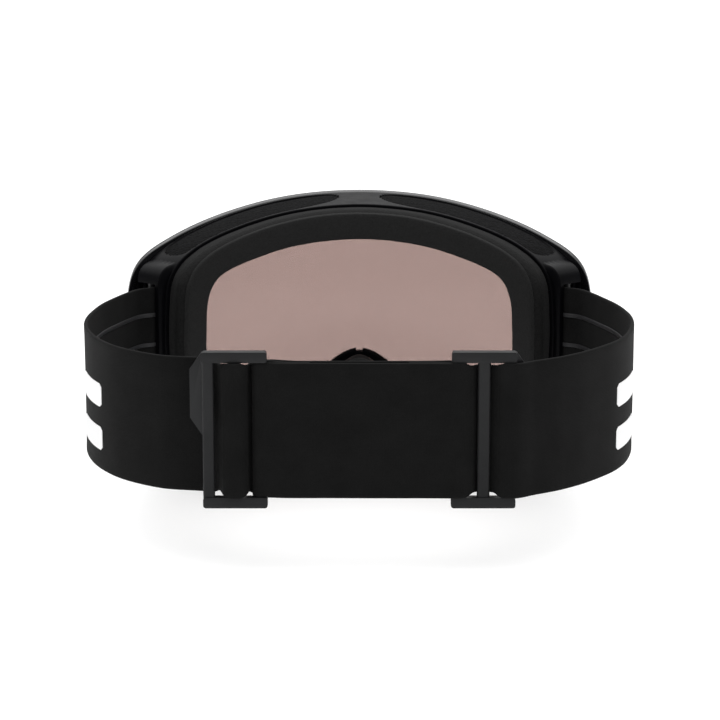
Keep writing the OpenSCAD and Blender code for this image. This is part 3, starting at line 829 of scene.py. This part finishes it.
def grips(label, path, normals, side):
    """Three silicone lines on the head side of the webbing."""
    start = (len(TAIL) + TURN_POINTS) * STEPS
    ahead = path[start:start + (len(SIDE_RUN) - 1) * STEPS, 1]
    part = slice(start + int(np.argmax(ahead < GRIP_FRONT)), start + len(ahead))
    heights = [STRAP_MID + GRIP_RISE + k * GRIP_PITCH for k in (-1, 0, 1)]
    beads = [bead(path[part], normals[part], -STRAP_T / 2, z, GRIP_HALF_W, GRIP_HIGH, side) for z in heights]
    obj = new_object(label + "_beads", *joined(beads), None, "silicone", SILICONE)
    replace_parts(obj, label)
    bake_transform(obj)


PRINT_H, PRINT_GAP, PRINT_MID = 8.0, 7.0, STRAP_MID - 4
PRINT_FRONT, PRINT_BACK = -29.0, -53.0


def prints(label, path, normals, side):
    """Two plain bars with rounded corners on the outside of the webbing."""
    start = (len(TAIL) + TURN_POINTS) * STEPS
    ahead = path[start:start + len(SIDE_RUN) * STEPS, 1]
    part = slice(start + int(np.argmax(ahead < PRINT_FRONT)), start + int(np.argmax(ahead < PRINT_BACK)))
    p, nrm = path[part], normals[part]
    s = lengths(p)
    near = np.minimum(s, s[-1] - s)
    corner = 1.2
    half = PRINT_H / 2 - corner + np.sqrt(np.maximum(corner ** 2 - np.maximum(corner - near, 0) ** 2, 0.01))
    shapes = []
    for mid in (PRINT_MID - PRINT_GAP / 2 - PRINT_H / 2, PRINT_MID + PRINT_GAP / 2 + PRINT_H / 2):
        w = np.linspace(-1, 1, 12)
        zs = mid + half[:, None] * w[None, :]
        top = p[:, None, :] + nrm[:, None, :] * (STRAP_T / 2 + 0.13)
        low = p[:, None, :] + nrm[:, None, :] * (STRAP_T / 2 - 0.1)
        top = np.concatenate([np.broadcast_to(top, (len(p), 12, 2)), zs[..., None]], 2)
        low = np.concatenate([np.broadcast_to(low, (len(p), 12, 2)), zs[:, ::-1, None]], 2)
        shapes.append(closed_tube(np.concatenate([top, low], 1) * [side, 1, 1]))
    obj = new_object(label + "_bars", *joined(shapes), None, "print_white", PRINT)
    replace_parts(obj, label)
    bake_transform(obj)


def stitch(centre, along, out, length, fat):
    """One thread stitch: a short plump loop lying on the webbing."""
    t = np.linspace(-1, 1, 9)
    a = np.radians(np.arange(0, 360, 45))
    across = np.cross(along, out)
    rows = []
    for k in t:
        w = fat * math.sqrt(max(1 - k * k, 0.02))
        sink = -0.35 * fat * k * k
        rows.append(centre + along * (k * length / 2) + out * sink
                    + w * (np.cos(a)[:, None] * across + np.sin(a)[:, None] * out * 0.8))
    return closed_tube(np.array(rows))


STITCH_LENGTH, STITCH_FAT = 1.9, 0.24
STITCH_HEIGHTS = np.arange(STRAP_Z + 2.2, STRAP_Z + STRAP_W - 1.5, 2.3)
UP = np.array([0, 0, 1.0])


def seam(name, points, outs):
    """Upright stitches at points on the webbing, each facing its own way."""
    shapes = [stitch(p, UP, out, STITCH_LENGTH, STITCH_FAT) for p, out in zip(points, outs)]
    return new_object(name, *joined(shapes), None, "thread", THREAD)


def post_stitches(label, path, normals, side):
    """Thread rows that close the sewn end round the side post."""
    pts, outs = [], []
    for row in (0.35, 0.75, 1.9):
        i = int(row * STEPS)
        flat = path[i] - normals[i] * (STRAP_T / 2 + 0.02)
        for z in STITCH_HEIGHTS:
            pts.append(np.array([flat[0] * side, flat[1], z]))
            outs.append(np.array([-normals[i][0] * side, -normals[i][1], 0]))
    obj = seam(label + "_thread", pts, outs)
    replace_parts(obj, label)
    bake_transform(obj)


def band_stitches():
    """Thread rows on the front of the rear band, where the two straps' ends are sewn down."""
    for side, word, clip in ((1, "right", "right_clip"), (-1, "left", "left_clip")):
        y = BAND_Y + STRAP_T / 2 + 0.02
        pts = [np.array([side * x, y, z]) for x in (17.2, 18.8) for z in STITCH_HEIGHTS]
        obj = seam(f"band_thread_{word}", pts, [np.array([0, 1.0, 0])] * len(pts))
        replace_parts(obj, "band_stitches")
        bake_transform(obj)


# ---------------------------------------------------------------- sliders
def rounded_rect(hx, hz, r, cz, per, line):
    pts = []
    for k, (sx, sz) in enumerate([(1, 1), (-1, 1), (-1, -1), (1, -1)]):
        c = np.array([sx * (hx - r), sz * (hz - r)])
        pts.append(arc(c, r, 90 * k, 90 * (k + 1), per))
        nxt = [(-1, 1), (-1, -1), (1, -1), (1, 1)][k]
        a = pts[-1][-1]
        b = np.array([nxt[0] * (hx - r), nxt[1] * (hz - r)])
        b = b + r * np.array([math.cos(math.radians(90 * (k + 1))), math.sin(math.radians(90 * (k + 1)))])
        t = np.linspace(0, 1, line + 2)[1:-1, None]
        pts.append(a * (1 - t) + b * t)
    return np.concatenate(pts) + [0, cz]


def prism(poly, lo, hi):
    """A prism from a front outline (x, z) between two depths, each a number or one for each point."""
    poly = np.array(poly, float)
    n = len(poly)
    lo, hi = np.broadcast_to(lo, n), np.broadcast_to(hi, n)
    ends = [np.stack([poly[:, 0], y, poly[:, 1]], 1) for y in (lo, hi)]
    verts = np.concatenate(ends)
    faces = [list(range(n)), list(range(2 * n - 1, n - 1, -1))]
    faces += [[(i + 1) % n, i, n + i, n + (i + 1) % n] for i in range(n)]
    return verts, faces


def bar(x0, x1, y, t):
    """An upright bar with round edges."""
    z0, z1 = STRAP_Z - 1, STRAP_Z + STRAP_W + 1
    left = arc((x0 + t / 2, y + t / 2), t / 2, 90, 270, 8)
    right = arc((x1 - t / 2, y + t / 2), t / 2, -90, 90, 8)
    plan = np.concatenate([left, right])
    n = len(plan)
    verts = np.concatenate([np.c_[plan, np.full(n, z0)], np.c_[plan, np.full(n, z1)]])
    faces = [list(range(n))[::-1], list(range(n, 2 * n))]
    faces += [[i, (i + 1) % n, n + (i + 1) % n, n + i] for i in range(n)]
    return verts, faces


def slider(label, side):
    """A three-bar slider with its finger tab, as one solid with softened edges."""
    outer = CLIP_X + CLIP_W / 2
    top = STRAP_Z + STRAP_W
    plates = []
    for z in (STRAP_Z - PLATE_H, top):
        loop = rounded_rect(CLIP_W / 2, PLATE_H / 2, 0.9, z + PLATE_H / 2, 5, 0) + [CLIP_X, 0]
        keep = [0]
        for i in range(1, len(loop)):
            if np.linalg.norm(loop[i] - loop[keep[-1]]) > 1e-4:
                keep.append(i)
        plates.append(prism(loop[keep], PLATE_REAR, PLATE_FRONT))
    x0 = outer - 1.7
    tab = np.array([
        (x0 - 1.2, top + PLATE_H - 0.35), (x0 + 1.7, top + PLATE_H - 0.35), (x0 + 1.7 + TAB_W, top - 3),
        (x0 + 1.7 + TAB_W, STRAP_Z + 26), (x0 + 1.7, STRAP_Z + 20.6), (x0 - 1.2, STRAP_Z + 20.6)])
    lean = np.clip((tab[:, 0] - x0) / (TAB_W + 1.7), 0, 1)
    parts = plates + [
        bar(outer - BAR_W, outer, BAR_Y, BAR_T),
        bar(CLIP_X - CENTRE_W / 2, CLIP_X + CENTRE_W / 2, BAR_Y, BAR_T),
        bar(INNER_BAR_X - 1.4, INNER_BAR_X + 1.4, INNER_BAR_Y, INNER_BAR_T),
        prism(tab, BAR_Y + 0.2 + 3.1 * lean, BAR_Y + BAR_T - 0.1 + 2.8 * lean)]
    solids = []
    for k, (verts, faces) in enumerate(parts):
        verts = verts * [side, 1, 1]
        solids.append(new_object(f"{label}_{k}", verts, faces, None, "clip_plastic", CLIP))
    whole_clip = solids[0]
    for other in solids[1:]:
        m = whole_clip.modifiers.new("union", "BOOLEAN")
        m.operation, m.solver, m.object = "UNION", "EXACT", other
        flatten(whole_clip)
        bpy.data.objects.remove(other)
    m = whole_clip.modifiers.new("edges", "BEVEL")
    m.width, m.segments, m.limit_method, m.angle_limit = 0.35 * MM, 3, "ANGLE", math.radians(38)
    m.harden_normals = False
    flatten(whole_clip)
    whole_clip.data.shade_smooth()
    whole_clip.data.set_sharp_from_angle(angle=SHARP)
    whole_clip.name = label + "_moulding"
    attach(whole_clip, "right_clip" if side > 0 else "left_clip")
    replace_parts(whole_clip, label)


def flatten(obj):
    """Applies an object's modifiers to its mesh."""
    bpy.context.view_layer.update()
    graph = bpy.context.evaluated_depsgraph_get()
    mesh = bpy.data.meshes.new_from_object(obj.evaluated_get(graph))
    obj.modifiers.clear()
    obj.data = mesh


# ---------------------------------------------------------------- stage
CAMERA_PLACE, CAMERA_DROP, FOCAL_PX, IMAGE_PX = (0, -0.91396, 0.2653), 13, 2647.1, 720
SENSOR_W = 36


def stage():
    """The camera, a pale floor, and soft light from above."""
    scene = bpy.context.scene
    cam = bpy.data.cameras.new("camera")
    cam.sensor_width = SENSOR_W
    cam.lens = FOCAL_PX * SENSOR_W / IMAGE_PX
    cam.clip_end = 20
    cam.shift_x = 0.001
    obj = bpy.data.objects.new("camera", cam)
    scene.collection.objects.link(obj)
    obj.location = CAMERA_PLACE
    obj.rotation_euler = (math.radians(90 - CAMERA_DROP), 0, 0)
    scene.camera = obj

    mat, tree, bsdf = nodes_of("floor")
    tone = noise(tree, coords(tree), 1.2, 2)
    tree.links.new(ramp(tree, tone, [(0.3, grey(0.90)), (0.7, grey(0.93))]), bsdf.inputs["Base Color"])
    bsdf.inputs["Roughness"].default_value = 0.9
    bsdf.inputs["Specular IOR Level"].default_value = 0.1
    bsdf.inputs["Emission Color"].default_value = (1, 1, 1, 1)
    bsdf.inputs["Emission Strength"].default_value = 0.16
    mesh = bpy.data.meshes.new("floor")
    mesh.from_pydata([(-6, -6, 0), (6, -6, 0), (6, 6, 0), (-6, 6, 0)], [], [(0, 1, 2, 3)])
    floor = bpy.data.objects.new("floor", mesh)
    floor.location.z = cad_floor() - 0.0004
    mesh.materials.append(mat)
    scene.collection.objects.link(floor)

    world = bpy.data.worlds.new("room")
    world.use_nodes = True
    tree = world.node_tree
    where, height = add(tree, "ShaderNodeTexCoord"), add(tree, "ShaderNodeSeparateXYZ")
    tree.links.new(where.outputs["Generated"], height.inputs[0])
    glow = ramp(tree, height.outputs["Z"], [(0.0, grey(0.45)), (0.35, grey(0.7)), (0.9, grey(1.0))])
    tree.links.new(glow, tree.nodes["Background"].inputs["Color"])
    tree.nodes["Background"].inputs["Strength"].default_value = 0.62
    scene.world = world
    scene.view_settings.view_transform = "Standard"

    sky = bpy.data.lights.new("top_soft", "SUN")
    sky.energy, sky.angle = 2.75, math.radians(110)
    lamp = bpy.data.objects.new("top_soft", sky)
    scene.collection.objects.link(lamp)
    lamp.rotation_euler = (math.radians(-14), 0, 0)


def cad_floor():
    return float(np.array(cad_box)[0][2])


# ---------------------------------------------------------------- build
shell()
for side, word in ((1, "right"), (-1, "left")):
    vent_pad(f"top_vent_pad_{word}", f"top_vent_foam_{word}", TOP_VENT, side)
    vent_pad(f"bottom_vent_pad_{word}", f"bottom_vent_foam_{word}", BOTTOM_VENT, side)
    nose_lip(f"nose_lip_{word}", side)
foam_layer("face_foam_base_ring", "face_foam_base", 0.12, BASE_DEPTH, 1, 0.8,
           [0.5, 0.5, 0.5, 0.5, 0.5, 0.5], 0.1, "firm_foam", FIRM_FOAM)
foam_layer("face_foam_soft_ring", "face_foam_mid",
           BASE_DEPTH + 0.12, FOAM_DEPTH - FLEECE_DEPTH - 0.12, 0.3, 0.3,
           [1.0, 1.0, 1.5, 1.0, 1.0, 2.0], 0.5, "soft_foam", SOFT_FOAM)
foam_layer("face_fleece_ring", "face_fleece", FOAM_DEPTH - FLEECE_DEPTH, FOAM_DEPTH, 0, 0.4,
           [2.6, 1.3, 0.6, 0.4, 0.2, 0.6], 0.1, "fleece", FLEECE)
lens_parts()
over = strap("strap_right", route(OVER_RUN, OVER_TAIL, True), 1)
under = strap("strap_left", route(UNDER_RUN, UNDER_TAIL, False), -1)
for (path, normals, s), side, word in ((over, 1, "right"), (under, -1, "left")):
    grips(f"grip_lines_{word}", path, normals, side)
    prints(f"strap_print_{word}", path, normals, side)
    post_stitches(f"stitches_{word}", path, normals, side)
    slider(f"clip_{word}", side)
band_stitches()
for node, mat in (("frame_magnets", NICKEL), ("lens_magnets", NICKEL),
                  ("strap_post_left", NYLON), ("strap_post_right", NYLON)):
    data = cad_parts[node].data
    for k in range(len(data.materials)):
        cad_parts[node].material_slots[k].material = mat
stage()
